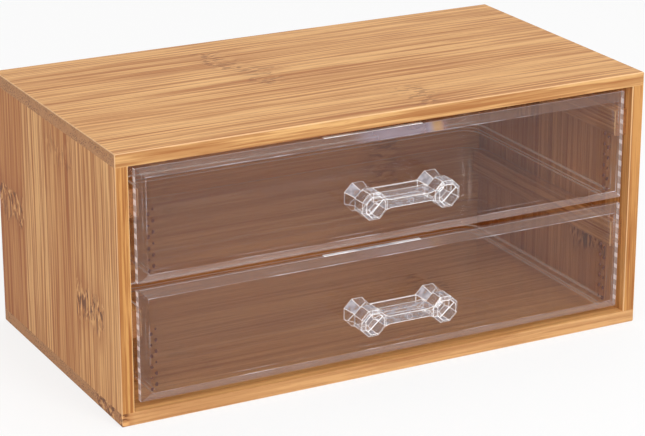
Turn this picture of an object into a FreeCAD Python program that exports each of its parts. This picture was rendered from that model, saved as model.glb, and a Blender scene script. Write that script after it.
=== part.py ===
import FreeCAD, Part
import math
import os
import re
import Sketcher

# Desk drawer organizer: a bamboo case with two clear drawers that hang on wooden rails.
# Millimetres, +Z up, front towards -Y. The origin is the middle of the underside.

DIMENSIONS = (
    # Case
    ("case_width", 300),
    ("case_depth", 160),
    ("case_height", 140),
    ("panel_thick", 7),
    ("case_edge_round", 0.8),
    ("back_thick", 5),
    ("back_inset", 3),
    ("groove_deep", 3),
    # Dowels in the four corner joints
    ("dowel_dia", 4),
    ("dowel_in_panel", 4),
    ("dowel_in_side", 10),
    ("dowel_front", 32),
    ("dowel_pitch", 96),
    ("dowel_chamfer", 0.5),
    ("dowel_play", 0.05),
    # Rails on the inside of the side panels
    ("rail_thick", 7),
    ("rail_tall", 14),
    ("rail_front", 5),
    ("rail_long", 142),
    ("rail_play", 0.2),
    ("rail_round", 0.8),
    # Drawers: height of the lower one, and from one to the next
    ("drawer_bottom", 10.6),
    ("drawer_pitch", 61.7),
    # Drawer front
    ("front_width", 278),
    ("front_height", 58.5),
    ("front_thick", 4.9),
    ("front_back_face", 4.6),
    ("bevel_wide", 4.6),
    ("bevel_deep", 2.0),
    ("front_edge_round", 0.4),
    # Drawer tray
    ("tray_width", 268),
    ("tray_long", 138.4),
    ("tray_deep", 49.2),
    ("tray_lift", 0.8),
    ("tray_wall", 2.2),
    ("tray_floor", 2.2),
    ("tray_corner", 14),
    ("tray_bottom_round", 5),
    ("tray_draft", 1),
    ("mouth_spare", 5),
    ("rim_reach", 4.8),
    ("rim_thick", 2.6),
    ("rim_edge_bevel", 0.6),
    # Handle
    ("handle_centre", 26.7),
    ("post_spacing", 41.3),
    ("foot_flats", 14.6),
    ("foot_thick", 0.8),
    ("waist_flats", 10.4),
    ("waist_out", 8.2),
    ("knob_flats", 13.8),
    ("knob_back_out", 10.1),
    ("knob_front_out", 18.1),
    ("knob_bevel", 1.6),
    ("handle_out", 19.6),
    ("bar_tall", 4.4),
    ("bar_back_out", 6.0),
    ("bar_flare", 2.4),
)

doc = FreeCAD.newDocument("DeskDrawerOrganizer")
sheet = doc.addObject("Spreadsheet::Sheet", "Dimensions")
for row, (alias, number) in enumerate(DIMENSIONS, start=1):
    sheet.set("A%d" % row, alias)
    sheet.set("B%d" % row, str(number))
    sheet.setAlias("B%d" % row, alias)
doc.recompute()
ALIASES = {alias for alias, number in DIMENSIONS}


def bound(words):
    """The expression with every alias pointed at the dimension sheet."""
    return re.sub(r"[a-z_]+", lambda m: "Dimensions." + m[0] if m[0] in ALIASES else m[0], words)


def bind(thing, **sizes):
    """Bind properties of an object; a double underscore stands for a dot in a property path."""
    for path, words in sizes.items():
        thing.setExpression(path.replace("__", "."), bound(words))


def value(words):
    """The number that an expression gives now."""
    return float(sheet.evalExpression(words))


def behind_front(words):
    """Y of a place given as its distance behind the front of the case."""
    return words + " - case_depth / 2"


# Sketch and feature tools

def new_body(label):
    body = doc.addObject("PartDesign::Body", label)
    body.Label = label
    return body


def origin_feature(body, role):
    """One of the body's own axes or planes."""
    return [item for item in body.Origin.OriginFeatures if item.Role == role][0]


def new_sketch(body, name, role, offset=None):
    """A sketch on one of the body's own planes, moved along its normal by an expression."""
    sketch = body.newObject("Sketcher::SketchObject", body.Name + "_" + name)
    sketch.AttachmentSupport = [(origin_feature(body, role), "")]
    sketch.MapMode = "FlatFace"
    if offset is not None:
        bind(sketch, AttachmentOffset__Base__z=offset)
    return sketch


def place(sketch, name, kind, geo, pos, words):
    """Hold a point at a signed distance from the sketch's origin, along X or Y."""
    number = value(words)
    if abs(number) < 1e-9:
        sketch_axis = -2 if kind == "DistanceX" else -1
        sketch.addConstraint(Sketcher.Constraint("PointOnObject", geo, pos, sketch_axis))
        return
    ends = (-1, 1, geo, pos) if number > 0 else (geo, pos, -1, 1)
    index = sketch.addConstraint(Sketcher.Constraint(kind, *ends, abs(number)))
    sketch.renameConstraint(index, name)
    sketch.setExpression("Constraints." + name, bound(words if number > 0 else "-(" + words + ")"))


def polygon(sketch, points):
    """A closed outline through points, each given as two expressions."""
    spots = [FreeCAD.Vector(value(across), value(up), 0) for across, up in points]
    count = len(spots)
    for k in range(count):
        sketch.addGeometry(Part.LineSegment(spots[k], spots[(k + 1) % count]))
    for k in range(count):
        sketch.addConstraint(Sketcher.Constraint("Coincident", k, 2, (k + 1) % count, 1))
    for k, (across, up) in enumerate(points):
        place(sketch, "across%d" % k, "DistanceX", k, 1, across)
        place(sketch, "up%d" % k, "DistanceY", k, 1, up)


def rectangle(sketch, left, right, low, high):
    """A rectangle between four lines, each given as an expression from the origin."""
    first = sketch.GeometryCount
    x0, x1, y0, y1 = (value(words) for words in (left, right, low, high))
    corners = [FreeCAD.Vector(x, y, 0) for x, y in ((x0, y0), (x1, y0), (x1, y1), (x0, y1))]
    for k in range(4):
        sketch.addGeometry(Part.LineSegment(corners[k], corners[(k + 1) % 4]))
    for k in range(4):
        sketch.addConstraint(Sketcher.Constraint("Coincident", first + k, 2, first + (k + 1) % 4, 1))
    for k in range(4):
        sketch.addConstraint(Sketcher.Constraint("Horizontal" if k % 2 == 0 else "Vertical", first + k))
    tag = "r%d_" % first
    place(sketch, tag + "left", "DistanceX", first, 1, left)
    place(sketch, tag + "right", "DistanceX", first + 2, 1, right)
    place(sketch, tag + "low", "DistanceY", first, 1, low)
    place(sketch, tag + "high", "DistanceY", first + 2, 1, high)


def circle(sketch, across, up, radius):
    geo = sketch.GeometryCount
    centre = FreeCAD.Vector(value(across), value(up), 0)
    sketch.addGeometry(Part.Circle(centre, FreeCAD.Vector(0, 0, 1), value(radius)))
    tag = "c%d_" % geo
    index = sketch.addConstraint(Sketcher.Constraint("Radius", geo, value(radius)))
    sketch.renameConstraint(index, tag + "radius")
    sketch.setExpression("Constraints." + tag + "radius", bound(radius))
    place(sketch, tag + "across", "DistanceX", geo, 3, across)
    place(sketch, tag + "up", "DistanceY", geo, 3, up)


def tray_outline(sketch, half, front, back, radius):
    """A tray seen from above: straight front, and two round corners at the back."""
    w, y0, y1, r = value(half), value(front), value(back), value(radius)
    vec = FreeCAD.Vector
    up = vec(0, 0, 1)
    sketch.addGeometry(Part.LineSegment(vec(w, y0, 0), vec(-w, y0, 0)))
    sketch.addGeometry(Part.LineSegment(vec(-w, y0, 0), vec(-w, y1 - r, 0)))
    left_corner = Part.Circle(vec(r - w, y1 - r, 0), up, r)
    sketch.addGeometry(Part.ArcOfCircle(left_corner, math.pi / 2, math.pi))
    sketch.addGeometry(Part.LineSegment(vec(r - w, y1, 0), vec(w - r, y1, 0)))
    right_corner = Part.Circle(vec(w - r, y1 - r, 0), up, r)
    sketch.addGeometry(Part.ArcOfCircle(right_corner, 0, math.pi / 2))
    sketch.addGeometry(Part.LineSegment(vec(w, y1 - r, 0), vec(w, y0, 0)))
    for ends in ((0, 2, 1, 1), (5, 2, 0, 1)):
        sketch.addConstraint(Sketcher.Constraint("Coincident", *ends))
    for ends in ((1, 2, 2, 2), (2, 1, 3, 1), (3, 2, 4, 2), (4, 1, 5, 1)):
        sketch.addConstraint(Sketcher.Constraint("Tangent", *ends))
    for line in (0, 3):
        sketch.addConstraint(Sketcher.Constraint("Horizontal", line))
    for line in (1, 5):
        sketch.addConstraint(Sketcher.Constraint("Vertical", line))
    sketch.addConstraint(Sketcher.Constraint("Equal", 2, 4))
    index = sketch.addConstraint(Sketcher.Constraint("Radius", 2, r))
    sketch.renameConstraint(index, "corner")
    sketch.setExpression("Constraints.corner", bound(radius))
    place(sketch, "right", "DistanceX", 0, 1, half)
    place(sketch, "left", "DistanceX", 1, 1, "-(" + half + ")")
    place(sketch, "front", "DistanceY", 0, 1, front)
    place(sketch, "back", "DistanceY", 3, 1, back)


def feature(body, kind, name, sketch, length, reverse=False, taper=None):
    """A Pad or Pocket; it has to change the body's volume the way its name says."""
    doc.recompute()
    before = body.Shape.Volume if body.Tip else 0.0
    made = body.newObject("PartDesign::" + kind, body.Name + "_" + name)
    made.Profile = sketch
    made.Reversed = reverse
    bind(made, Length=length)
    if taper is not None:
        bind(made, TaperAngle=taper)
    sketch.Visibility = False
    doc.recompute()
    change = body.Shape.Volume - before
    if (change > 0) != (kind == "Pad") or abs(change) < 1e-3:
        raise RuntimeError("%s %s changed the volume by %.3f" % (body.Name, name, change))
    return made


def dress(body, kind, name, pick, **sizes):
    """A Fillet or Chamfer on the edges that pick() accepts."""
    doc.recompute()
    base = body.Tip
    edges = ["Edge%d" % (k + 1) for k, edge in enumerate(base.Shape.Edges) if pick(edge)]
    made = body.newObject("PartDesign::" + kind, body.Name + "_" + name)
    made.Base = (base, edges)
    if "Size2" in sizes:
        made.ChamferType = "Two distances"
    bind(made, **sizes)
    doc.recompute()
    return made


def lies_at(edge, **limits):
    """True if every point of the edge has the stated x, y or z."""
    points = [edge.valueAt(edge.FirstParameter + k * (edge.LastParameter - edge.FirstParameter) / 4)
              for k in range(5)]
    return all(abs(getattr(p, axis) - number) < 1e-4 for p in points for axis, number in limits.items())


# Case: five bamboo panels

DOWEL_PLACES = ("dowel_front", "dowel_front + dowel_pitch")


def level_panel(label, z, turn):
    """Top or bottom panel, built with its inner face at local z = 0."""
    body = new_body(label)
    outline = new_sketch(body, "outline", "XY_Plane")
    rectangle(outline, "-case_width / 2", "case_width / 2", "0", "case_depth")
    feature(body, "Pad", "board", outline, "panel_thick")
    groove = new_sketch(body, "groove_outline", "XY_Plane")
    reach = "case_width / 2 - panel_thick + groove_deep"
    back_face = "case_depth - back_inset"
    rectangle(groove, "-(" + reach + ")", reach, back_face + " - back_thick", back_face)
    feature(body, "Pocket", "groove", groove, "groove_deep", reverse=True)
    holes = new_sketch(body, "dowel_holes", "XY_Plane")
    middle = "(case_width - panel_thick) / 2"
    for side in ("-", ""):
        for place_behind in DOWEL_PLACES:
            circle(holes, side + middle, place_behind, "dowel_dia / 2 + dowel_play")
    feature(body, "Pocket", "dowel_bores", holes, "dowel_in_panel", reverse=True)
    half, deep = value("case_width / 2"), value("case_depth")

    def outer(edge):
        at_end = lies_at(edge, x=-half) or lies_at(edge, x=half)
        at_side = at_end or lies_at(edge, y=0) or lies_at(edge, y=deep)
        return at_side and not lies_at(edge, z=0)

    dress(body, "Fillet", "edges", outer, Radius="case_edge_round")
    if turn:
        body.Placement.Rotation = FreeCAD.Rotation(FreeCAD.Vector(0, 1, 0), 180)
    bind(body, Placement__Base__y=behind_front("0"), Placement__Base__z=z)
    return body


def side_panel(label, side):
    """Side panel, built as the left one with its inner face at local x = 0, centred in height."""
    body = new_body(label)
    half = "case_height / 2 - panel_thick"
    outline = new_sketch(body, "outline", "YZ_Plane")
    rectangle(outline, "0", "case_depth", "-(" + half + ")", half)
    feature(body, "Pad", "board", outline, "panel_thick", reverse=True)
    groove = new_sketch(body, "groove_outline", "YZ_Plane")
    back_face = "case_depth - back_inset"
    rectangle(groove, back_face + " - back_thick", back_face, "-(" + half + ")", half)
    feature(body, "Pocket", "groove", groove, "groove_deep")
    for name, end, reverse in (("top", half, False), ("bottom", "-(" + half + ")", True)):
        holes = new_sketch(body, name + "_dowel_holes", "XY_Plane", offset=end)
        for place_behind in DOWEL_PLACES:
            circle(holes, "-panel_thick / 2", place_behind, "dowel_dia / 2 + dowel_play")
        feature(body, "Pocket", name + "_dowel_bores", holes, "dowel_in_side", reverse=reverse)
    thick, deep = value("panel_thick"), value("case_depth")

    def upright_outer(edge):
        at_face = lies_at(edge, x=-thick) or (lies_at(edge, x=0) and lies_at(edge, y=0))
        return at_face and (lies_at(edge, y=0) or lies_at(edge, y=deep))

    dress(body, "Fillet", "edges", upright_outer, Radius="case_edge_round")
    if side > 0:
        body.Placement.Rotation = FreeCAD.Rotation(FreeCAD.Vector(0, 1, 0), 180)
    sign = "" if side > 0 else "-"
    bind(body, Placement__Base__x=sign + "(case_width / 2 - panel_thick)",
         Placement__Base__y=behind_front("0"), Placement__Base__z="case_height / 2")
    return body


def back_panel():
    """Back board, held in grooves in the four panels around it."""
    body = new_body("back_panel")
    outline = new_sketch(body, "outline", "XZ_Plane")
    half = "case_width / 2 - panel_thick + groove_deep"
    high = "case_height / 2 - panel_thick + groove_deep"
    rectangle(outline, "-(" + half + ")", half, "-(" + high + ")", high)
    feature(body, "Pad", "board", outline, "back_thick")
    bind(body, Placement__Base__y=behind_front("case_depth - back_inset"),
         Placement__Base__z="case_height / 2")
    return body


def dowels(label, z, turn):
    """Four wooden pins of the joints at one level, two to each side, as separate solids."""
    body = new_body(label)
    body.AllowCompound = True
    half_profile = new_sketch(body, "half_profile", "XZ_Plane")
    axis_x = "(case_width - panel_thick) / 2"
    wide, narrow = axis_x + " + dowel_dia / 2", axis_x + " + dowel_dia / 2 - dowel_chamfer"
    polygon(half_profile, (
        (axis_x, "-dowel_in_side"),
        (narrow, "-dowel_in_side"),
        (wide, "dowel_chamfer - dowel_in_side"),
        (wide, "dowel_in_panel - dowel_chamfer"),
        (narrow, "dowel_in_panel"),
        (axis_x, "dowel_in_panel"),
    ))
    bind(half_profile, AttachmentOffset__Base__z="-dowel_front")
    doc.recompute()
    pin = body.newObject("PartDesign::Revolution", label + "_pin")
    pin.Profile = half_profile
    pin.ReferenceAxis = (half_profile, ["Edge6"])
    pin.Angle = 360
    doc.recompute()
    row = doc.addObject("PartDesign::LinearPattern", label + "_row")
    row.Direction = (origin_feature(body, "Y_Axis"), [""])
    row.Occurrences = len(DOWEL_PLACES)
    bind(row, Length="dowel_pitch")
    both_sides = doc.addObject("PartDesign::Mirrored", label + "_both_sides")
    both_sides.MirrorPlane = (origin_feature(body, "YZ_Plane"), [""])
    pattern = body.newObject("PartDesign::MultiTransform", label + "_pattern")
    pattern.Originals = [pin]
    pattern.Transformations = [row, both_sides]
    body.Tip = pattern
    doc.recompute()
    if turn:
        body.Placement.Rotation = FreeCAD.Rotation(FreeCAD.Vector(0, 1, 0), 180)
    bind(body, Placement__Base__y=behind_front("0"), Placement__Base__z=z)
    return body


# Rails: bamboo strips that the drawers' rims ride on

def rim_underside(level):
    return "drawer_bottom + %d * drawer_pitch + tray_lift + tray_deep - rim_thick" % level


def rail(label, side, level):
    body = new_body(label)
    outline = new_sketch(body, "section", "XZ_Plane")
    inner = "case_width / 2 - panel_thick"
    if side > 0:
        rectangle(outline, inner + " - rail_thick", inner, "0", "rail_tall")
    else:
        rectangle(outline, "-(" + inner + ")", "-(" + inner + ") + rail_thick", "0", "rail_tall")
    feature(body, "Pad", "strip", outline, "rail_long", reverse=True)
    free = side * value(inner + " - rail_thick")
    dress(body, "Fillet", "edges", lambda edge: lies_at(edge, x=free), Radius="rail_round")
    bind(body, Placement__Base__y=behind_front("rail_front"),
         Placement__Base__z=rim_underside(level) + " - rail_play - rail_tall")
    return body


# Drawers: tray, bevelled front and faceted handle, all in clear plastic

def drawer_height(level, extra="0"):
    return "drawer_bottom + %d * drawer_pitch + %s" % (level, extra)


def drawer_front(label, level):
    """Bevelled front plate, its back face at local y = 0."""
    body = new_body(label)
    outline = new_sketch(body, "outline", "XZ_Plane")
    rectangle(outline, "-front_width / 2", "front_width / 2", "0", "front_height")
    feature(body, "Pad", "plate", outline, "front_thick")
    face, shoulder = -value("front_thick"), -value("front_thick - bevel_deep")
    dress(body, "Chamfer", "bevel", lambda edge: lies_at(edge, y=face), Size="bevel_deep",
          Size2="bevel_wide")
    half, high = value("front_width / 2"), value("front_height")

    def sharp(edge):
        at_end = lies_at(edge, x=-half) or lies_at(edge, x=half)
        corner = at_end and (lies_at(edge, z=0) or lies_at(edge, z=high))
        return corner or lies_at(edge, y=shoulder)

    dress(body, "Fillet", "edges", sharp, Radius="front_edge_round")
    bind(body, Placement__Base__y=behind_front("front_back_face"), Placement__Base__z=drawer_height(level))
    return body


def drawer_tray(label, level):
    """Moulded tray, open at the front where the plate is bonded on, with a rim to ride on the rails."""
    body = new_body(label)
    drop = "tray_deep * tan(tray_draft)"
    shell = new_sketch(body, "outside", "XY_Plane")
    tray_outline(shell, "tray_width / 2 - " + drop, "-mouth_spare", "tray_long - " + drop, "tray_corner")
    feature(body, "Pad", "block", shell, "tray_deep", taper="tray_draft")
    dress(body, "Fillet", "bottom_round",
          lambda edge: lies_at(edge, z=0) and edge.BoundBox.YMax > 0, Radius="tray_bottom_round")
    rim = new_sketch(body, "rim_outline", "XY_Plane", offset="tray_deep - rim_thick")
    tray_outline(rim, "tray_width / 2 + rim_reach", "-mouth_spare", "tray_long + rim_reach",
                 "tray_corner + rim_reach")
    feature(body, "Pad", "rim", rim, "rim_thick")
    top = value("tray_deep")
    dress(body, "Chamfer", "rim_edge",
          lambda edge: lies_at(edge, z=top) and edge.BoundBox.YMax > 0, Size="rim_edge_bevel")
    inside = new_sketch(body, "inside", "XY_Plane", offset="tray_deep")
    tray_outline(inside, "tray_width / 2 - tray_wall", "-2 * mouth_spare", "tray_long - tray_wall",
                 "tray_corner - tray_wall")
    feature(body, "Pocket", "hollow", inside, "tray_deep - tray_floor", taper="-tray_draft")
    floor = value("tray_floor")
    dress(body, "Fillet", "floor_round",
          lambda edge: lies_at(edge, z=floor) and edge.BoundBox.YMax > 0,
          Radius="tray_bottom_round - tray_wall")
    mouth = new_sketch(body, "mouth_cut", "XZ_Plane")
    rectangle(mouth, "-case_width", "case_width", "-case_height", "case_height")
    feature(body, "Pocket", "mouth", mouth, "case_depth", reverse=True)
    bind(body, Placement__Base__y=behind_front("front_back_face"),
         Placement__Base__z=drawer_height(level, "tray_lift"))
    return body


def octagon(name, flats, across, out):
    """Octagon across flats, with a flat side up, at a height above the drawer front."""
    ring = doc.addObject("Part::RegularPolygon", name)
    ring.Polygon = 8
    ring.Placement.Rotation = FreeCAD.Rotation(FreeCAD.Vector(0, 0, 1), 22.5)
    bind(ring, Circumradius="(" + flats + ") / 2 / cos(22.5)", Placement__Base__x=across,
         Placement__Base__z=out)
    return ring


def handle_post(name, side):
    """Faceted post: flat foot, taper to a waist, flare to the knob, and a bevelled end."""
    across = "%d * post_spacing / 2" % side
    stations = (
        ("foot_flats", "0"),
        ("foot_flats", "foot_thick"),
        ("waist_flats", "waist_out"),
        ("knob_flats", "knob_back_out"),
        ("knob_flats", "knob_front_out"),
        ("knob_flats - 2 * knob_bevel", "handle_out"),
    )
    post = doc.addObject("Part::Loft", name)
    post.Sections = [octagon("%s_ring%d" % (name, k), flats, across, out)
                     for k, (flats, out) in enumerate(stations)]
    post.Solid = True
    post.Ruled = True
    post.Linearize = True
    return post


def handle_block(name, half_long, half_tall, low, high):
    block = doc.addObject("Part::Box", name)
    bind(block, Length="2 * (" + half_long + ")", Width="2 * (" + half_tall + ")",
         Height="(" + high + ") - (" + low + ")", Placement__Base__x="-(" + half_long + ")",
         Placement__Base__y="-(" + half_tall + ")", Placement__Base__z=low)
    return block


def bar_flare(name, side):
    """Facets that widen the bar to the whole flat of a knob."""
    tip = "post_spacing / 2 - knob_flats / 2"
    flat_half = "knob_flats * tan(22.5) / 2"
    flare = doc.addObject("Part::Wedge", name)
    bind(flare, Ymin="0", Ymax="bar_flare", Xmin="-bar_tall / 2", Xmax="bar_tall / 2",
         Zmin="bar_back_out", Zmax="knob_front_out", X2min="-(" + flat_half + ")", X2max=flat_half,
         Z2min="bar_back_out", Z2max="knob_front_out")
    turn = FreeCAD.Rotation(FreeCAD.Vector(0, 0, 1), -90 * side)
    flare.Placement.Rotation = turn
    bind(flare, Placement__Base__x="%d * (%s - bar_flare)" % (side, tip))
    return flare


def handle(label, level):
    """Clear pull: two faceted posts, a strip between their feet and a bar between their knobs."""
    reach = "post_spacing / 2"
    foot_half = "foot_flats * tan(22.5) / 2"
    pieces = [
        handle_post(label + "_left_post", -1),
        handle_post(label + "_right_post", 1),
        handle_block(label + "_foot_strip", reach, foot_half, "0", "foot_thick"),
        handle_block(label + "_bar", reach, "bar_tall / 2", "bar_back_out", "knob_front_out"),
        bar_flare(label + "_left_flare", -1),
        bar_flare(label + "_right_flare", 1),
    ]
    joined = doc.addObject("Part::MultiFuse", label + "_joined")
    joined.Shapes = pieces
    joined.Refine = True
    joined.Label = label
    joined.Placement.Rotation = FreeCAD.Rotation(FreeCAD.Vector(1, 0, 0), 90)
    bind(joined, Placement__Base__y=behind_front("front_back_face - front_thick"),
         Placement__Base__z=drawer_height(level, "handle_centre"))
    return joined


# The assembly, one node to each piece

pieces = [
    level_panel("top_panel", "case_height - panel_thick", turn=False),
    level_panel("bottom_panel", "panel_thick", turn=True),
    side_panel("left_side_panel", -1),
    side_panel("right_side_panel", 1),
    back_panel(),
    dowels("top_dowels", "case_height - panel_thick", turn=False),
    dowels("bottom_dowels", "panel_thick", turn=True),
]
for level, level_name in enumerate(("lower", "upper")):
    for side, side_name in ((-1, "left"), (1, "right")):
        pieces.append(rail("%s_%s_rail" % (level_name, side_name), side, level))
    pieces.append(drawer_tray(level_name + "_tray", level))
    pieces.append(drawer_front(level_name + "_drawer_front", level))
    pieces.append(handle(level_name + "_handle", level))

doc.recompute()
for thing in doc.Objects:
    if {"Invalid", "Error"} & set(thing.State):
        raise RuntimeError("%s failed: %s" % (thing.Label, thing.State))

os.makedirs("parts", exist_ok=True)
for piece in pieces:
    shape = piece.Shape
    if shape.isNull() or not shape.isValid() or not shape.Solids:
        raise RuntimeError(piece.Label + " has no valid solid")
    print("%-24s %d solid(s), %8.2f cm3" % (piece.Label, len(shape.Solids), shape.Volume / 1000))
    shape.exportStep("parts/%s.step" % piece.Label)
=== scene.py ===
import math

import bmesh
import bpy
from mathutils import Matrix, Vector


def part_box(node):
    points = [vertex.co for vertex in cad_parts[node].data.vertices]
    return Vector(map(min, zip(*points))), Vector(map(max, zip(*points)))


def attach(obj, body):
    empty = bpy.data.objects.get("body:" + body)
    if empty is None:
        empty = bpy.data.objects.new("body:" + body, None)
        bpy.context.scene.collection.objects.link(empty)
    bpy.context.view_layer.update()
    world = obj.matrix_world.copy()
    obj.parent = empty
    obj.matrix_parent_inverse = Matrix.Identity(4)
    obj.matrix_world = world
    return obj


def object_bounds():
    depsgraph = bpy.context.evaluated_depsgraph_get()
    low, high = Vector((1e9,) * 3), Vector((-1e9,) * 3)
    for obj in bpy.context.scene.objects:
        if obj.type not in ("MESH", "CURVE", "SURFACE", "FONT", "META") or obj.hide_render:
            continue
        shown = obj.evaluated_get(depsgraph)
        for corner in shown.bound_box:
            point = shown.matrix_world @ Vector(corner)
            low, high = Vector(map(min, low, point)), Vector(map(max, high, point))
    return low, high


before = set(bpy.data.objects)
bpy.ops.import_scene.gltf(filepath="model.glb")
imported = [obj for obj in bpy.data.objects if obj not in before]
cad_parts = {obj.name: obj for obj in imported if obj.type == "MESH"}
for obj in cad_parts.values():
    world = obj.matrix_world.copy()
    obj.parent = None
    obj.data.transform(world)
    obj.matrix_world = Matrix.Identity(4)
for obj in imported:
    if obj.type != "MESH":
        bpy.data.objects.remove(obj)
cad_low, cad_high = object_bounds()
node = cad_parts

# Top and bottom panels: boards edge-glued from bamboo strips about 35 mm wide, grain left to right.
# Sanded, edges eased, finished with a satin lacquer; glued and dowelled onto the side panels.


def colour(red, green, blue):
    """A colour as a picture shows it, 0 to 255, turned into the light it stands for."""
    light = [((c / 255 + 0.055) / 1.055) ** 2.4 if c > 10 else c / 3294.6 for c in (red, green, blue)]
    return (*light, 1.0)


class Wire:
    """What comes out of a node; arithmetic on it adds the Math nodes that work it out."""

    def __init__(self, finish, socket):
        self.finish = finish
        self.socket = socket

    def maths(self, operation, *values):
        return self.finish.node("Math", dict(enumerate(values)), operation=operation)

    def __add__(self, other):
        return self.maths("ADD", self, other)

    def __radd__(self, other):
        return self.maths("ADD", other, self)

    def __sub__(self, other):
        return self.maths("SUBTRACT", self, other)

    def __rsub__(self, other):
        return self.maths("SUBTRACT", other, self)

    def __mul__(self, other):
        return self.maths("MULTIPLY", self, other)

    def __rmul__(self, other):
        return self.maths("MULTIPLY", other, self)

    def __truediv__(self, other):
        return self.maths("DIVIDE", self, other)

    def __pow__(self, other):
        return self.maths("POWER", self, other)

    def __abs__(self):
        return self.maths("ABSOLUTE", self)

    def __or__(self, other):
        return self.maths("MAXIMUM", self, other)

    def __and__(self, other):
        return self.maths("MINIMUM", self, other)

    def floor(self):
        return self.maths("FLOOR", self)

    def same_as(self, number):
        """1 where this is the number, and 0 elsewhere."""
        return self.maths("COMPARE", self, number, 0.5)

    def rise(self, low, high):
        """0 below low, 1 above high and a smooth climb between; high under low makes it fall."""
        sockets = {"Value": self, "From Min": low, "From Max": high}
        return self.finish.node("MapRange", sockets, interpolation_type="SMOOTHSTEP")


class Finish:
    """The nodes of a material or of the surround; every node comes from node()."""

    def __init__(self, owner):
        self.owner = owner
        self.owner.use_nodes = True
        self.tree = self.owner.node_tree
        self.tree.nodes.clear()

    def node(self, kind, sockets, out=0, **settings):
        made = self.tree.nodes.new("ShaderNode" + kind)
        for setting, choice in settings.items():
            setattr(made, setting, choice)
        for name, given in sockets.items():
            if isinstance(given, Wire):
                self.tree.links.new(given.socket, made.inputs[name])
            else:
                made.inputs[name].default_value = given
        return Wire(self, made.outputs[out]) if made.outputs else made

    def mix(self, share, first, second, blend="MIX"):
        """One colour over another."""
        sockets = {0: share, 6: first, 7: second}
        return self.node("Mix", sockets, out=2, data_type="RGBA", blend_type=blend)

    def noise(self, along, over, deep, detail=2.0):
        """Noise stretched by the scale of each of its three coordinates."""
        spot = self.node("CombineXYZ", {0: along, 1: over, 2: deep})
        return self.node("TexNoise", {"Vector": spot, "Scale": 1.0, "Detail": detail})

    def place(self):
        """Where a spot is on the piece, in metres."""
        return self.node("TexCoord", {}, out="Object")

    def facing(self):
        """Which way a spot faces; a part of it is 1 or -1 where it faces straight along that axis."""
        return self.node("TexCoord", {}, out="Normal")

    def parts_of(self, vector, axes):
        """The numbers of a vector along some of its axes."""
        return [self.node("SeparateXYZ", {0: vector}, out=axis) for axis in axes]

    def surface(self, shader):
        self.node("OutputMaterial", {"Surface": shader})
        return self.owner


def new_finish(name):
    return Finish(bpy.data.materials.new(name))


PALE_BAMBOO = colour(233, 181, 118)
DEEP_BAMBOO = colour(184, 120, 60)
FIBRE_BROWN = colour(150, 76, 16)
KNUCKLE_BROWN = colour(104, 56, 22)
END_GRAIN_BROWN = colour(176, 122, 76)
PORE_BROWN = colour(82, 46, 26)
EDGE_HIGHLIGHT = colour(244, 206, 160)
STRIP_WIDE = 0.035
STRIP_SHIFT = 3.1
STRIP_TONE = 0.75
FIBRE_STRAY = 0.003
THREAD_START = 7.0
KNUCKLE_SWAY = 0.022

# Waves to the metre of each part of the figure, along the grain and across it.
STRAY_ALONG = 9
STRAY_ACROSS = 30
BROAD_ALONG = 3
BROAD_ACROSS = 130
STREAK_ALONG = 11
STREAK_ACROSS = 360
VEIN_ALONG = 14
VEIN_ACROSS = 900
VEIN_DEEP = 700
THREAD_ALONG = 4
THREAD_ACROSS = 480
FLECK_ALONG = 140
FLECK_ACROSS = 1500
BUNDLE_ALONG = 90
BUNDLE_DEEP = 300
PORES = 1050.0
KNUCKLE_ALONG = 70
KNUCKLE_ACROSS = 130
DASH_ALONG = 150
DASH_ACROSS = 480
DASH_SWAY = 200

# How strongly each part of the figure shows.
BROAD_SHARE = 0.2
STREAK_SHARE = 0.5
VEIN_SHARE = 0.5
THREAD_SHARE = 0.55
FLECK_SHARE = 0.16
GLUE_LINE_SHARE = 0.3
CUT_END_SHARE = 0.9
EDGE_HIGHLIGHT_SHARE = 0.55
KNUCKLE_CLOUD_SHARE = 0.3
KNUCKLE_DARK_SHARE = 0.9
KNUCKLE_PALE_SHARE = 0.6


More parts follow.
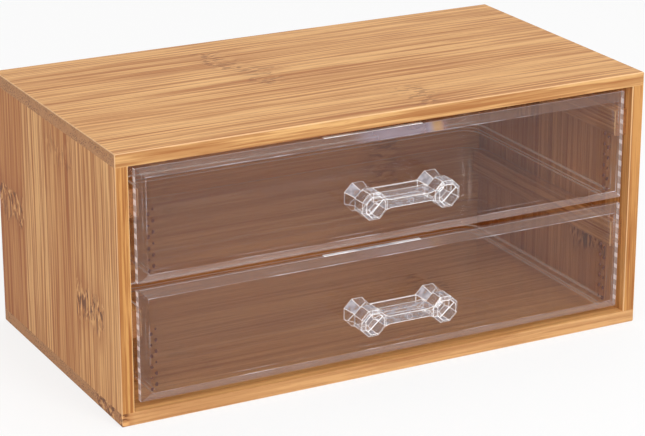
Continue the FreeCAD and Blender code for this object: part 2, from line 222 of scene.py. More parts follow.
def bamboo(name, grain, across, first_joint, tones, start, knuckles=(), edge_cast=(1, 1, 1),
           cut_end=END_GRAIN_BROWN, figure=1.0):
    """Strips of bamboo, counted from the first joint: a tone to each, streaks, knuckles, dotted ends and
    a painted highlight on the eased edges.

    A knuckle is (place along the grain, number of its strip, half its length, how strongly it shows).
    """
    wood = new_finish(name)
    place = wood.place()
    (third,) = set("XYZ") - {grain, across}
    along, over, deep = wood.parts_of(place, (grain, across, third))
    towards = {axis: abs(part) for axis, part in zip("XYZ", wood.parts_of(wood.facing(), "XYZ"))}

    where = (over - first_joint) / STRIP_WIDE
    strip = where.floor()
    tone = sum(dark * strip.same_as(number) for number, dark in enumerate(tones))
    shift = strip * STRIP_SHIFT + start
    stray = wood.noise(along * STRAY_ALONG + shift, over * STRAY_ACROSS, deep * STRAY_ACROSS, detail=1.0)
    line = over + (stray - 0.5) * FIBRE_STRAY
    broad = wood.noise(along * BROAD_ALONG + shift, line * BROAD_ACROSS, deep * BROAD_ACROSS, detail=1.0)
    streak_over = line * STREAK_ACROSS
    streak = wood.noise(along * STREAK_ALONG + shift, streak_over, deep * STREAK_ACROSS, detail=3.0)
    vein = wood.noise(along * VEIN_ALONG - shift, line * VEIN_ACROSS, deep * VEIN_DEEP)
    thread_over = line * THREAD_ACROSS + THREAD_START
    thread = wood.noise(along * THREAD_ALONG + shift, thread_over, deep * THREAD_ACROSS, detail=0.0)
    fleck = wood.noise(along * FLECK_ALONG, line * FLECK_ACROSS, deep * FLECK_ACROSS, detail=1.0)

    base = wood.mix(tone * STRIP_TONE + broad.rise(0.3, 0.7) * BROAD_SHARE, PALE_BAMBOO, DEEP_BAMBOO)
    for fibres, low, high, share in (
        (streak, 0.46, 0.62, STREAK_SHARE * figure),
        (vein, 0.50, 0.62, VEIN_SHARE * figure),
        (thread, 0.60, 0.68, THREAD_SHARE * figure),
        (fleck, 0.56, 0.72, FLECK_SHARE),
    ):
        base = wood.mix(fibres.rise(low, high) * share, base, FIBRE_BROWN)
    glue_line = abs(where - strip - 0.5).rise(0.488, 0.498)
    base = wood.mix(glue_line * GLUE_LINE_SHARE, base, FIBRE_BROWN)
    cast = wood.mix(1.0, base, (*edge_cast, 1.0), "MULTIPLY")
    base = wood.mix(towards[across].rise(0.6, 0.9), base, cast)

    end = towards[grain].rise(0.6, 0.85)
    pores = wood.node("TexVoronoi", {"Vector": place, "Scale": PORES}).rise(0.46, 0.22)
    bundles = wood.noise(over * BUNDLE_ALONG, deep * BUNDLE_DEEP, along * BUNDLE_ALONG)
    cut = wood.mix(pores * bundles.rise(0.3, 0.6), cut_end, PORE_BROWN)
    base = wood.mix(end * CUT_END_SHARE, base, cut)
    # Painted highlight: the eased edges, where the surface turns from one face to the next, are painted
    # paler.
    squarely = towards["X"] | towards["Y"] | towards["Z"]
    base = wood.mix(squarely.rise(0.98, 0.85) * EDGE_HIGHLIGHT_SHARE, base, EDGE_HIGHLIGHT)

    for middle, number, reach, force in knuckles:
        sway = wood.noise(along * KNUCKLE_ALONG, over * KNUCKLE_ACROSS, shift)
        sway = (sway - 0.5) * KNUCKLE_SWAY
        lengthways = abs((along - middle + sway) / reach)
        inside = strip.same_as(number)
        cloud = (lengthways / 2.2).rise(1.0, 0.2) * inside
        base = wood.mix(cloud * (KNUCKLE_CLOUD_SHARE * force), base, FIBRE_BROWN)
        dash = wood.noise(along * DASH_ALONG + sway * DASH_SWAY, over * DASH_ACROSS, deep * DASH_ACROSS)
        patch = lengthways.rise(1.0, 0.5) * inside
        dark = patch * dash.rise(0.52, 0.58) * (KNUCKLE_DARK_SHARE * force)
        base = wood.mix(dark, base, KNUCKLE_BROWN)
        pale = patch * dash.rise(0.46, 0.40) * (KNUCKLE_PALE_SHARE * force)
        base = wood.mix(pale, base, PALE_BAMBOO)

    relief = wood.node("Bump", {
        "Strength": 0.3,
        "Distance": 0.0002,
        "Height": 1.0 - streak - pores * end - vein * 0.5,
    })
    lacquer = wood.node("BsdfPrincipled", {
        "Base Color": base,
        "Roughness": 0.44 + streak * 0.16,
        "Normal": relief,
        "Specular IOR Level": 0.25,
    })
    return wood.surface(lacquer)


TOP_FIRST_JOINT = -0.079
TOP_TONES = (0.05, 0.25, 0.1, 0.25, 0.0)
TOP_KNUCKLES = ((0.024, 0, 0.012, 0.5), (-0.030, 2, 0.011, 0.5), (-0.038, 3, 0.011, 0.6))
TOP_EDGE_CAST = (0.85, 0.87, 0.88)
node["top_panel"].material_slots[0].material = bamboo(
    "bamboo_top", "X", "Y", TOP_FIRST_JOINT, TOP_TONES,
    start=3.3, knuckles=TOP_KNUCKLES, edge_cast=TOP_EDGE_CAST, figure=0.9)
BOTTOM_FIRST_JOINT = -0.083
BOTTOM_TONES = (0.0, 0.1, 0.0, 0.1, 0.0)
BOTTOM_KNUCKLES = ((-0.150, 0, 0.004, 1.0), (0.070, 2, 0.011, 0.5), (-0.090, 1, 0.011, 0.2))
BOTTOM_EDGE_CAST = (0.77, 0.75, 0.79)
node["bottom_panel"].material_slots[0].material = bamboo(
    "bamboo_bottom", "X", "Y", BOTTOM_FIRST_JOINT, BOTTOM_TONES,
    start=7.6, knuckles=BOTTOM_KNUCKLES, edge_cast=BOTTOM_EDGE_CAST, figure=0.5)

# Side panels: the same bamboo board with its grain upright, between the top and bottom panels.
# They are glued and dowelled to both, and the front edge of each is a warm band beside the drawers.

SIDE_FIRST_JOINT = -0.096
SIDE_EDGE_CAST = (0.75, 0.67, 0.53)
LEFT_TONES = (0.15, 0.4, 0.7, 0.15, 1.0)
LEFT_KNUCKLES = ((0.050, 1, 0.011, 1.0), (0.121, 2, 0.008, 0.35), (0.072, 4, 0.011, 1.0))
node["left_side_panel"].material_slots[0].material = bamboo(
    "bamboo_left", "Z", "Y", SIDE_FIRST_JOINT, LEFT_TONES,
    start=1.9, knuckles=LEFT_KNUCKLES, edge_cast=SIDE_EDGE_CAST, figure=1.1)
RIGHT_TONES = (0.3, 0.6, 0.4, 0.8, 1.0)
RIGHT_KNUCKLES = ((0.095, 3, 0.011, 0.7), (0.040, 1, 0.012, 1.0))
node["right_side_panel"].material_slots[0].material = bamboo(
    "bamboo_right", "Z", "Y", SIDE_FIRST_JOINT, RIGHT_TONES,
    start=5.2, knuckles=RIGHT_KNUCKLES, edge_cast=SIDE_EDGE_CAST, figure=0.8)

# Back panel: a thinner bamboo board slid into grooves in the four panels before they are glued.
# Its grain runs left to right, its strips are painted darker higher up as painted shade inside the case,
# and it shows as brown shade through the drawers.

BACK_FIRST_JOINT = 0.0
# Strip tones that also hold painted shade: the upper strips are darker.
BACK_TONES_AND_SHADE = (0.3, 0.55, 1.1, 0.95)
BACK_KNUCKLES = ((-0.06, 2, 0.011, 0.7), (0.08, 1, 0.011, 0.7))
node["back_panel"].material_slots[0].material = bamboo(
    "bamboo_back", "X", "Z", BACK_FIRST_JOINT, BACK_TONES_AND_SHADE,
    start=8.4, knuckles=BACK_KNUCKLES, figure=0.6)

# Rails: plain bamboo strips glued inside the side panels, grain front to back.
# The rims of the trays slide on their tops, and their sawn ends show dotted beside the fronts.

LEVELS = ("upper", "lower")
RAIL_END = colour(150, 98, 58)
RAIL_FIRST_JOINT = 0.034
RAIL_TONES = (0.3, 0.5, 0.2)
rail_bamboo = bamboo(
    "bamboo_rail", "Y", "Z", RAIL_FIRST_JOINT, RAIL_TONES,
    start=2.7, cut_end=RAIL_END)
for level in LEVELS:
    for side in ("left", "right"):
        node[level + "_" + side + "_rail"].material_slots[0].material = rail_bamboo

# Dowels: raw bamboo pins in blind bores, which hold the corner joints and show on no outside face.
# They are turned from solid bamboo and chamfered at both ends.

DOWEL_FIRST_JOINT = -0.070
DOWEL_TONES = (0.5, 0.3, 0.6, 0.4)
dowel_bamboo = bamboo("bamboo_dowel", "Z", "Y", DOWEL_FIRST_JOINT, DOWEL_TONES, start=4.1)
for dowels in ("top_dowels", "bottom_dowels"):
    node[dowels].material_slots[0].material = dowel_bamboo

# Trays: injection-moulded clear polystyrene with a slightly smoky cast, open at the front.
# The rim round the top stiffens them and carries them on the rails.

TRAY_TINT = colour(252, 251, 250)
SMOKE = colour(206, 186, 180)
HIGHLIGHT_GREY = colour(232, 220, 212)
DARK = colour(0, 0, 0)
WHITE = (1, 1, 1, 1)
# Painted glow: light given out by the edges, bends and corners of the plastic, though they are no lamp.
PAINTED_GLOW_TONE = colour(206, 196, 190)
HEAD_ON_GLOSS = 0.026


def mirrored_share(plastic, head_on):
    """How much light a clear surface mirrors: a little head on, and nearly all of it edge on."""
    edge_on = plastic.node("LayerWeight", {"Blend": 0.5}, out="Facing")
    return head_on + (1 - head_on) * edge_on ** 5


def thin_plastic(plastic, tint, haze_and_highlight, haze_and_highlight_colour, roughness, painted_glow=DARK):
    """Clear moulded plastic as a thin wall: most light goes straight on, and a little is mirrored.

    The haze share is how much of a colour hangs in the wall, real haze and painted highlights both, and
    the glow is painted light that comes out of it there.
    """
    ripple = plastic.node("TexNoise", {"Vector": plastic.place(), "Scale": 45.0, "Detail": 1.0})
    waves = plastic.node("Bump", {"Strength": 0.04, "Distance": 0.002, "Height": ripple})
    clear = plastic.node("BsdfTransparent", {"Color": tint})
    mirror = plastic.node("BsdfPrincipled", {
        "Base Color": WHITE,
        "Metallic": 1.0,
        "Roughness": roughness,
        "Normal": waves,
    })
    film = plastic.node("BsdfPrincipled", {
        "Base Color": haze_and_highlight_colour,
        "Roughness": 0.35,
        "Emission Color": painted_glow,
        "Emission Strength": 1.0,
    })
    body = plastic.node("MixShader", {0: haze_and_highlight, 1: clear, 2: film})
    mirrored = mirrored_share(plastic, HEAD_ON_GLOSS)
    return plastic.surface(plastic.node("MixShader", {0: mirrored, 1: body, 2: mirror}))


BEND_TALL = 0.008
BEND_FADE = 0.002
RIM_TALL = 0.004
RIM_FADE = 0.003
GLINT_STARTS = 0.022
GLINT_FULL = 0.010
CLEAR_HAZE = 0.003
SMUDGE_HAZE = 0.007
BEND_HIGHLIGHT = 0.35
RIM_HIGHLIGHT = 0.7
CORNER_HIGHLIGHT = 0.04
GLINT_HIGHLIGHT = 0.5
CORNER_GLINT = {"upper": 1.0, "lower": 0.2}


def tray_plastic(level):
    """Smoky clear plastic, with painted highlights and a painted glow on the bend from floor to wall,
    painted highlights on the rim, and a painted glint up the corners.
    """
    plastic = new_finish(level + "_tray_plastic")
    low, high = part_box(level + "_tray")
    underside = low[2]
    rim_top = high[2]
    place = plastic.place()
    (z,) = plastic.parts_of(place, "Z")
    sideways, backward, upward = plastic.parts_of(plastic.facing(), "XYZ")
    flatness = abs(upward)
    smudge = plastic.node("TexNoise", {"Vector": place, "Scale": 22.0, "Detail": 3.0}).rise(0.45, 0.8)

    by_floor = z.rise(underside + BEND_TALL, underside + BEND_TALL - BEND_FADE)
    wall_side = flatness.rise(0.10, 0.25) * flatness.rise(0.45, 0.30)
    floor_side = flatness.rise(0.84, 0.93) * flatness.rise(0.995, 0.975)
    bend = (wall_side + floor_side) * by_floor
    rim_edge = flatness.rise(0.5, 0.65) * flatness.rise(0.85, 0.75) * (1 - by_floor)
    below_rim = z.rise(rim_top - RIM_TALL, rim_top - RIM_TALL - RIM_FADE)
    corner = (abs(sideways) & (0 - backward)).rise(0.60, 0.69) * below_rim
    glint = z.rise(rim_top - GLINT_STARTS, rim_top - GLINT_FULL) * CORNER_GLINT[level]

    # Painted highlights: a paler film on the bends, on the rim edges and in the corners, with a painted
    # glint high in the corners.
    haze_and_highlight = CLEAR_HAZE + smudge * SMUDGE_HAZE + bend * BEND_HIGHLIGHT + rim_edge * RIM_HIGHLIGHT
    haze_and_highlight = haze_and_highlight + corner * (CORNER_HIGHLIGHT + glint * GLINT_HIGHLIGHT)
    tone = plastic.mix(bend | rim_edge | corner, SMOKE, HIGHLIGHT_GREY)
    # Painted glow along the bends and up the corners.
    lit = plastic.mix(bend * 0.15 + corner * (0.05 + glint * 0.6), DARK, PAINTED_GLOW_TONE)
    return thin_plastic(plastic, TRAY_TINT, haze_and_highlight, tone, 0.03, lit)


for level in LEVELS:
    node[level + "_tray"].material_slots[0].material = tray_plastic(level)

# Drawer fronts: thicker moulded plates of the same plastic, bevelled round the face and polished.
# Each is cemented to the open end of its tray, and the film of cement shows round its back.

FRONT_TINT = colour(247, 245, 244)
PALE_MARK_AND_HIGHLIGHT = colour(236, 236, 246)
CEMENT_MAUVE = colour(128, 100, 98)
BEVEL_REFRACTION_LILAC = colour(116, 86, 72)
FLOOR_REFLECTION_LILAC = colour(158, 130, 120)
BEVEL_WIDE = 0.0046
CREASE_WIDE = 0.00045
CREASE_FULL = 0.0001
SPOT_PITCH = 0.0058
BOND_INSIDE = 0.1282
BOND_OUTSIDE = 0.1342
BOND_TALL = 0.0026
BOND_FADE = 0.0006
FADE = 0.0004

# Beside the gate the plastic is under strain, and a faint patch of colour shows in the upper bevel.
STRESS_BLUE = colour(166, 160, 184)
STRESS_AMBER = colour(206, 160, 100)
STRESS_ROSE = colour(160, 116, 128)
BLUE_STARTS = -0.026
BLUE_FULL = -0.012
BLUE_FADES = 0.018
BLUE_ENDS = 0.021
AMBER_STARTS = 0.020
AMBER_FULL = 0.025
ROSE_STARTS = 0.026
ROSE_FULL = 0.031
BANDS_FADE = 0.028
BANDS_END = 0.033
STRESS_SHARE = {"upper": 1.0, "lower": 0.2}


def front_plastic(level):
    """Bevels painted cloudier and darker in place of refraction and paler underneath as a painted
    reflection of the floor, painted highlights and a painted glow on the ends and edges, and the film of
    cement behind.
    """
    plastic = new_finish(level + "_front_plastic")
    low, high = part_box(level + "_drawer_front")
    tray_low, tray_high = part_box(level + "_tray")
    face_wide = high[0] - BEVEL_WIDE
    face_tall = (high[2] - low[2]) / 2 - BEVEL_WIDE
    x, z = plastic.parts_of(plastic.place(), "XZ")
    sideways, backward, upward = plastic.parts_of(plastic.facing(), "XYZ")
    off_middle = abs(z - (low[2] + high[2]) / 2)
    ahead = abs(backward)
    outside = backward.rise(0.2, -0.2)
    flank = abs(sideways).rise(0.1, 0.3)

    bevel = ahead.rise(0.985, 0.95) * ahead.rise(0.85, 0.90)
    outer_bevel = bevel * outside
    rounded = ahead.rise(0.88, 0.80) * ahead.rise(0.18, 0.32)
    side_edge = abs(sideways).rise(0.9, 0.97)
    long_edge = abs(upward).rise(0.9, 0.97)
    crease_line = abs(abs(x) - face_wide) & abs(off_middle - face_tall)
    on_face = abs(x).rise(face_wide + FADE, face_wide) * off_middle.rise(face_tall + FADE, face_tall)
    drift = plastic.noise(x * 40, z * 90, 0.3)
    crease = crease_line.rise(CREASE_WIDE, CREASE_FULL) * on_face * outside * drift.rise(0.35, 0.75)

    step = z / SPOT_PITCH + drift * 0.8
    spots = abs(step - step.floor() - 0.5).rise(0.34, 0.24)
    # Painted stand-in for refraction: the outer bevels are painted cloudier, less so on the flanks; the
    # crease, the rounded edges and the side ends get pale painted highlights.
    cloud = (0.40 + drift.rise(0.4, 0.75) * 0.12) * (1 - flank * 0.7)
    haze_and_highlight = 0.006 + outer_bevel * cloud + crease * 0.30
    haze_and_highlight = haze_and_highlight + rounded * 0.25 + side_edge * (0.85 - spots * 0.5) + long_edge * 0.08

    over_gate = outer_bevel * upward.rise(0.1, 0.3) * STRESS_SHARE[level]
    cool = x.rise(BLUE_STARTS, BLUE_FULL) * x.rise(BLUE_ENDS, BLUE_FADES) * over_gate
    bands = x.rise(BLUE_FADES, BLUE_ENDS) * x.rise(BANDS_END, BANDS_FADE) * over_gate
    haze_and_highlight = haze_and_highlight + cool * 0.08 + bands * 0.12

    wall = abs(x).rise(BOND_INSIDE - FADE, BOND_INSIDE) * abs(x).rise(BOND_OUTSIDE + FADE, BOND_OUTSIDE)
    wall = wall * z.rise(tray_high[2], tray_high[2] - FADE)
    sole = z.rise(tray_low[2] + BOND_TALL, tray_low[2] + BOND_TALL - BOND_FADE)
    sole = sole * abs(x).rise(BOND_OUTSIDE, BOND_INSIDE)
    bond = (wall | sole) * backward.rise(0.5, 0.9)
    haze_and_highlight = haze_and_highlight + bond * 0.35

    # The bevels are painted darker lilac in place of refraction, and those facing down paler, a painted
    # reflection of the floor.
    underneath = upward.rise(-0.2, -0.35)
    tone = plastic.mix(bevel, SMOKE, plastic.mix(underneath, BEVEL_REFRACTION_LILAC, FLOOR_REFLECTION_LILAC))
    tone = plastic.mix(side_edge | rounded | crease, tone, PALE_MARK_AND_HIGHLIGHT)
    tone = plastic.mix(cool * 0.55, tone, STRESS_BLUE)
    rainbow = plastic.mix(x.rise(AMBER_STARTS, AMBER_FULL), STRESS_BLUE, STRESS_AMBER)
    rainbow = plastic.mix(x.rise(ROSE_STARTS, ROSE_FULL), rainbow, STRESS_ROSE)
    tone = plastic.mix(bands * 0.7, tone, rainbow)
    tone = plastic.mix(bond, tone, CEMENT_MAUVE)
    # Painted glow on the side ends and the rounded edges.
    lit = plastic.mix(side_edge * 0.5 + rounded * 0.15, DARK, PAINTED_GLOW_TONE)
    return thin_plastic(plastic, FRONT_TINT, haze_and_highlight, tone, 0.02, lit)


for level in LEVELS:
    node[level + "_drawer_front"].material_slots[0].material = front_plastic(level)

# Gate marks: where the runner of the mould was cut from the top edge of each front, a frosted strip
# of the same plastic is left. It stands a hair above the edge.

GATE_LEFT = -0.038
GATE_RIGHT = 0.0175
GATE_DEEP = 0.0024
GATE_INSET = 0.0006
GATE_TALL = 0.00012
FROST_DULL = colour(176, 172, 178)
FROST_WHITE = colour(250, 250, 252)


def new_piece(name, mesh, material, body):
    """A mesh as a piece of clear plastic, riding on a body."""
    data = bpy.data.meshes.new(name)
    mesh.to_mesh(data)
    mesh.free()
    data.materials.append(material)
    piece = bpy.data.objects.new(name, data)
    bpy.context.scene.collection.objects.link(piece)
    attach(piece, body)


def box_mesh(low, high):
    """A box between two corners."""
    mesh = bmesh.new()
    bmesh.ops.create_cube(mesh, size=1.0)
    middle = (Vector(low) + Vector(high)) / 2
    size = Vector(high) - Vector(low)
    for vertex in mesh.verts:
        vertex.co = Vector([c * s for c, s in zip(vertex.co, size)]) + middle
    return mesh


def frosted(name):
    """Cut plastic, whitened and uneven, and whitest towards its two ends."""
    skin = new_finish(name)
    place = skin.place()
    (x,) = skin.parts_of(place, "X")
    off_middle = abs(x - (GATE_LEFT + GATE_RIGHT) / 2)
    patchy = skin.node("TexNoise", {"Vector": place, "Scale": 180.0, "Detail": 2.0}).rise(0.4, 0.6)
    ends = off_middle.rise(0.006, 0.016)
    white = skin.mix(ends * 0.7 + patchy * 0.3, FROST_DULL, FROST_WHITE)
    return skin.surface(skin.node("BsdfPrincipled", {"Base Color": white, "Roughness": 0.5}))


gate_frost = frosted("gate_frost")
for level in LEVELS:
    front_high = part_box(level + "_drawer_front")[1]
    gate_back = front_high[1] - GATE_INSET
    gate = box_mesh(
        (GATE_LEFT, gate_back - GATE_DEEP, front_high[2] - GATE_TALL),
        (GATE_RIGHT, gate_back, front_high[2] + GATE_TALL),
    )
    new_piece(level + "_gate_mark", gate, gate_frost, level + "_drawer")

# Cement bubbles: the solvent joint between tray and front traps small bubbles in two staggered rows
# down each wall, which show as dark dots through the bevel.

BUBBLE_BROWN = colour(106, 66, 56)
BUBBLE_OUTER = 0.1318
BUBBLE_WIDE = 0.0015
BUBBLE_PITCH = 0.0058
BUBBLE_ROWS = 0.0024
BUBBLE_STAGGER = 0.4
BUBBLE_INSET = 0.0006
BUBBLE_SQUASH = (1.0, 0.4, 1.3)
FIRST_BUBBLE = 0.004
BUBBLE_MARGIN = 0.012
bubble_finish = new_finish("bubble_dark")
bubble_skin = bubble_finish.surface(bubble_finish.node("BsdfPrincipled", {
    "Base Color": BUBBLE_BROWN,
    "Roughness": 0.6,
    "Specular IOR Level": 0.1,
}))


def add_bubble(mesh, x, y, z, size):
    """A small squashed ball of the mesh."""
    ball = bmesh.ops.create_uvsphere(mesh, u_segments=10, v_segments=6, radius=BUBBLE_WIDE / 2)
    for vertex in ball["verts"]:
        squashed = [c * size * squash for c, squash in zip(vertex.co, BUBBLE_SQUASH)]
        vertex.co = Vector(squashed) + Vector((x, y, z))


for level in LEVELS:
    tray_low, tray_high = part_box(level + "_tray")
    bubble_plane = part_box(level + "_drawer_front")[1][1] - BUBBLE_INSET
    bubbles = bmesh.new()
    rows = int((tray_high[2] - tray_low[2] - BUBBLE_MARGIN) / BUBBLE_PITCH)
    for side in (-1, 1):
        for column in (0, 1):
            for row in range(rows):
                x = side * (BUBBLE_OUTER - column * BUBBLE_ROWS)
                z = tray_low[2] + FIRST_BUBBLE + (row + column * BUBBLE_STAGGER) * BUBBLE_PITCH
                size = 0.7 + 0.5 * abs(math.sin(7.3 * row + 2.1 * column + side))
                add_bubble(bubbles, x, bubble_plane, z, size)
    new_piece(level + "_cement_bubbles", bubbles, bubble_skin, level + "_drawer")

# Handles: one clear crystal-cut moulding each, two eight-sided posts joined by a bar, cemented on.
# Water clear and highly polished, so the facets sparkle.

HANDLE_TINT = colour(253, 253, 253)
EDGE_HIGHLIGHT_WHITE = colour(250, 250, 253)
SKY_REFLECTION_PALE = colour(214, 216, 228)
FACET_SHADE_BROWN = colour(70, 46, 40)
CRYSTAL_GLOSS = 0.04
BENT_SHARE = 0.12
EDGE_ROUND = 0.0007
POST_OFF_MIDDLE = 0.02065
WAIST_OUT = 0.0082
WAIST_FADE = 0.0002
END_FACE_HALF = 0.0052
END_FACE_FADE = 0.0006
LINE_HALF = 0.0004
LINE_FADE = 0.0002
LINE_RUN = 0.64
LINE_CLIMB = 0.77
SPARKLE = 260
SLANT = 0.7071


def crystal_plastic(level):
    """Clear cut plastic: facets turned to the sky painted pale as a painted reflection, those turned away
    painted deep as painted shade, and the edges painted white with a painted glow.
    """
    plastic = new_finish(level + "_crystal_plastic")
    low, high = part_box(level + "_handle")
    flat = plastic.node("NewGeometry", {}, out="Normal")
    softened = plastic.node("Bevel", {"Radius": EDGE_ROUND}, samples=4)
    agree = plastic.node("VectorMath", {0: flat, 1: softened}, out=1, operation="DOT_PRODUCT")
    edge = agree.rise(0.985, 0.95)

    x, y, z = plastic.parts_of(plastic.place(), "XYZ")
    right, backward, upward = plastic.parts_of(plastic.facing(), "XYZ")
    waist = high[1] - WAIST_OUT
    knob = y.rise(waist + WAIST_FADE, waist - WAIST_FADE)
    uneven = plastic.noise(x * SPARKLE, y * SPARKLE, z * SPARKLE, detail=1.0).rise(0.3, 0.7) * 0.6 + 0.4
    up_left = ((upward - right) * SLANT).rise(0.84, 0.92)
    low_left = ((right + upward) * -SLANT).rise(0.64, 0.92)
    low_right = ((right - upward) * SLANT).rise(0.60, 0.90)
    top = upward.rise(0.84, 0.92)
    knob_bevel = abs(backward).rise(0.5, 0.6) * abs(backward).rise(0.9, 0.8) * upward.rise(0.1, 0.4)
    # Painted reflection of the sky on facets turned up and to the left, and painted shade on facets
    # turned down and to the right.
    foot_pale = (1 - knob) * (up_left * 0.7 + top * 0.12)
    knob_pale = knob * (top * 0.45 + up_left * 0.15 + low_left * 0.4 + knob_bevel * 0.25)
    pale = (foot_pale + knob_pale) * uneven
    deep = low_right * 0.4

    # A painted reflection: a pale line slanting across the end face of each post.
    to_post = POST_OFF_MIDDLE * (x.rise(-0.001, 0.001) * 2 - 1)
    off_line = (x - to_post) * LINE_RUN - (z - (low[2] + high[2]) / 2) * LINE_CLIMB
    within = abs(abs(x) - POST_OFF_MIDDLE).rise(END_FACE_HALF, END_FACE_HALF - END_FACE_FADE)
    end_face = backward.rise(-0.95, -0.98) * within
    reflection = abs(off_line).rise(LINE_HALF, LINE_HALF - LINE_FADE) * end_face * 0.8

    clear = plastic.node("BsdfTransparent", {"Color": HANDLE_TINT})
    mirror = plastic.node("BsdfPrincipled", {"Base Color": WHITE, "Metallic": 1.0, "Roughness": 0.02})
    mirrored = mirrored_share(plastic, CRYSTAL_GLOSS)
    thin = plastic.node("MixShader", {0: mirrored, 1: clear, 2: mirror})
    solid = plastic.node("BsdfPrincipled", {
        "Base Color": HANDLE_TINT,
        "Roughness": 0.0,
        "IOR": 1.49,
        "Transmission Weight": 1.0,
    })
    lamp_ray = plastic.node("LightPath", {}, out="Is Shadow Ray")
    thick = plastic.node("MixShader", {0: lamp_ray, 1: solid, 2: clear})
    body = plastic.node("MixShader", {0: BENT_SHARE, 1: thin, 2: thick})
    # Painted highlights and a painted glow along the facet edges.
    white = edge | reflection
    tone = plastic.mix(pale.rise(0.0, 0.1), FACET_SHADE_BROWN, SKY_REFLECTION_PALE)
    flash = plastic.node("BsdfPrincipled", {
        "Base Color": plastic.mix(white, tone, EDGE_HIGHLIGHT_WHITE),
        "Roughness": 0.2,
        "Emission Color": plastic.mix(white, DARK, PAINTED_GLOW_TONE),
        "Emission Strength": 0.5,
    })
    return plastic.surface(plastic.node("MixShader", {0: white | pale | deep, 1: body, 2: flash}))


for level in LEVELS:
    node[level + "_handle"].material_slots[0].material = crystal_plastic(level)

# Ejector marks: a small round ring in the middle of each handle's bar, in the handle's own plastic.
# The pin that pushes the moulding out of its mould leaves it.

RING_WIDE = 0.0028
RING_WIRE = 0.0002
RING_STEPS = 28
WIRE_STEPS = 6
BAR_SET_BACK = 0.0015


def ring_mesh(middle, wide, wire):
    """A round wire bent into an upright ring."""
    mesh = bmesh.new()
    verts = []
    for k in range(RING_STEPS):
        turn = 2 * math.pi * k / RING_STEPS
        for j in range(WIRE_STEPS):
            roll = 2 * math.pi * j / WIRE_STEPS
            reach = wide / 2 + wire * math.cos(roll)
            spot = Vector((reach * math.cos(turn), wire * math.sin(roll), reach * math.sin(turn)))
            verts.append(mesh.verts.new(middle + spot))
    for k in range(RING_STEPS):
        for j in range(WIRE_STEPS):
            here = k * WIRE_STEPS
            there = (k + 1) % RING_STEPS * WIRE_STEPS
            n = (j + 1) % WIRE_STEPS
            mesh.faces.new((verts[here + j], verts[there + j], verts[there + n], verts[here + n]))
    return mesh


ring_plastic = thin_plastic(new_finish("ejector_mark_plastic"), FRONT_TINT, 0.3, PALE_MARK_AND_HIGHLIGHT, 0.1)
for level in LEVELS:
    handle_low, handle_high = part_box(level + "_handle")
    bar_middle = Vector((0, handle_low[1] + BAR_SET_BACK, (handle_low[2] + handle_high[2]) / 2))
    ring = ring_mesh(bar_middle, RING_WIDE, RING_WIRE)
    new_piece(level + "_ejector_ring", ring, ring_plastic, level + "_drawer")

# Studio: a pale paper floor, a soft white surround and five large lamps.
# None of it is part of the object.

FLOOR_SIZE = 6.0
FLOOR_PALE = colour(250, 250, 250)
FLOOR_GLOW = 0.75
AMBIENT = 0.62


def looked_at(finish):
    """1 where the camera looks, straight or by way of gloss or clear plastic, and 0 for light."""
    rays = ("Is Camera Ray", "Is Glossy Ray", "Is Transmission Ray")
    straight, glossy, through = (finish.node("LightPath", {}, out=ray) for ray in rays)
    return straight | glossy | through


floor_mesh = bmesh.new()
bmesh.ops.create_grid(floor_mesh, x_segments=1, y_segments=1, size=FLOOR_SIZE)
floor_data = bpy.data.meshes.new("floor")
floor_mesh.to_mesh(floor_data)
floor_mesh.free()
floor = bpy.data.objects.new("floor", floor_data)
floor.location = (0, 0, cad_low[2])
bpy.context.scene.collection.objects.link(floor)
paper = new_finish("floor_paper")
sheet = paper.node("BsdfPrincipled", {
    "Base Color": FLOOR_PALE,
    "Roughness": 0.7,
    "Specular IOR Level": 0.2,
})
glow = paper.node("Emission", {"Color": WHITE, "Strength": 1.0})
glowing = paper.node("MixShader", {0: looked_at(paper) * FLOOR_GLOW, 1: sheet, 2: glow})
floor_data.materials.append(paper.surface(glowing))

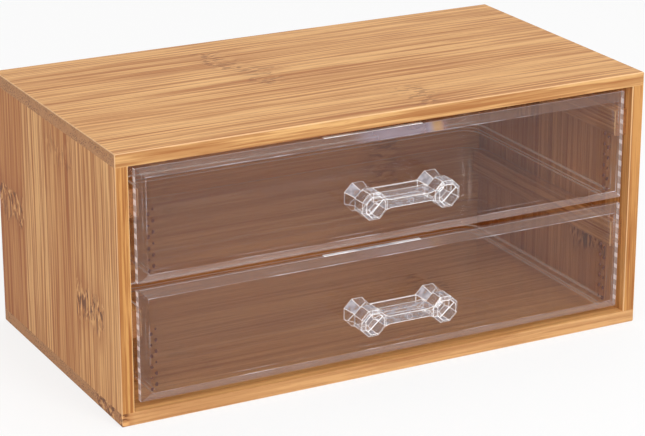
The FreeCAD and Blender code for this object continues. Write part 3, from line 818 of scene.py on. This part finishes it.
world = bpy.data.worlds.new("surround")
bpy.context.scene.world = world
sky = Finish(world)
ambient = sky.node("Background", {"Color": WHITE, "Strength": AMBIENT})
backdrop = sky.node("Background", {"Color": WHITE, "Strength": 1.0})
surround = sky.node("MixShader", {0: looked_at(sky), 1: ambient, 2: backdrop})
sky.node("OutputWorld", {"Surface": surround})

AIM = Vector((0.0, -0.004, 0.060))


def lamp(name, place, wide, tall, watts):
    """A soft box pointed at the object."""
    data = bpy.data.lights.new(name, "AREA")
    data.shape = "RECTANGLE"
    data.size = wide
    data.size_y = tall
    data.energy = watts
    box = bpy.data.objects.new(name, data)
    box.location = place
    box.rotation_euler = (AIM - Vector(place)).to_track_quat("-Z", "Y").to_euler()
    bpy.context.scene.collection.objects.link(box)


lamp("key", (-1.0, -1.9, 1.56), 0.7, 0.7, 13.0)
lamp("front", (0.35, -1.7, 1.5), 0.6, 0.6, 12.0)
lamp("fill", (1.08, -1.86, 0.42), 1.2, 0.4, 6.0)
lamp("kicker", (-0.65, -1.8, 0.68), 0.25, 0.25, 3.0)
lamp("overhead", (0.2, 0.2, 2.3), 1.2, 1.2, 5.0)

# Camera: to the left of the front and above it, with a long lens, as the photograph was taken.
# It is turned to the middle of the case, without shift and with all of it sharp.

VIEW_AROUND = math.radians(-27.7)
VIEW_ABOVE = math.radians(19.5)
VIEW_FROM = 1.291
LENS = 135.5
FILM_WIDE = 36.0
camera_data = bpy.data.cameras.new("camera")
camera_data.sensor_width = FILM_WIDE
camera_data.lens = LENS
camera = bpy.data.objects.new("camera", camera_data)
towards_camera = Vector((
    math.sin(VIEW_AROUND) * math.cos(VIEW_ABOVE),
    -math.cos(VIEW_AROUND) * math.cos(VIEW_ABOVE),
    math.sin(VIEW_ABOVE),
))
camera.location = AIM + towards_camera * VIEW_FROM
camera.rotation_euler = (-towards_camera).to_track_quat("-Z", "Y").to_euler()
bpy.context.scene.collection.objects.link(camera)
bpy.context.scene.camera = camera
bpy.context.scene.view_settings.view_transform = "Standard"

# Light goes on through many layers of clear plastic before it is given up.
paths = bpy.context.scene.cycles
paths.max_bounces = 24
paths.glossy_bounces = 16
paths.transmission_bounces = 24
paths.transparent_max_bounces = 32
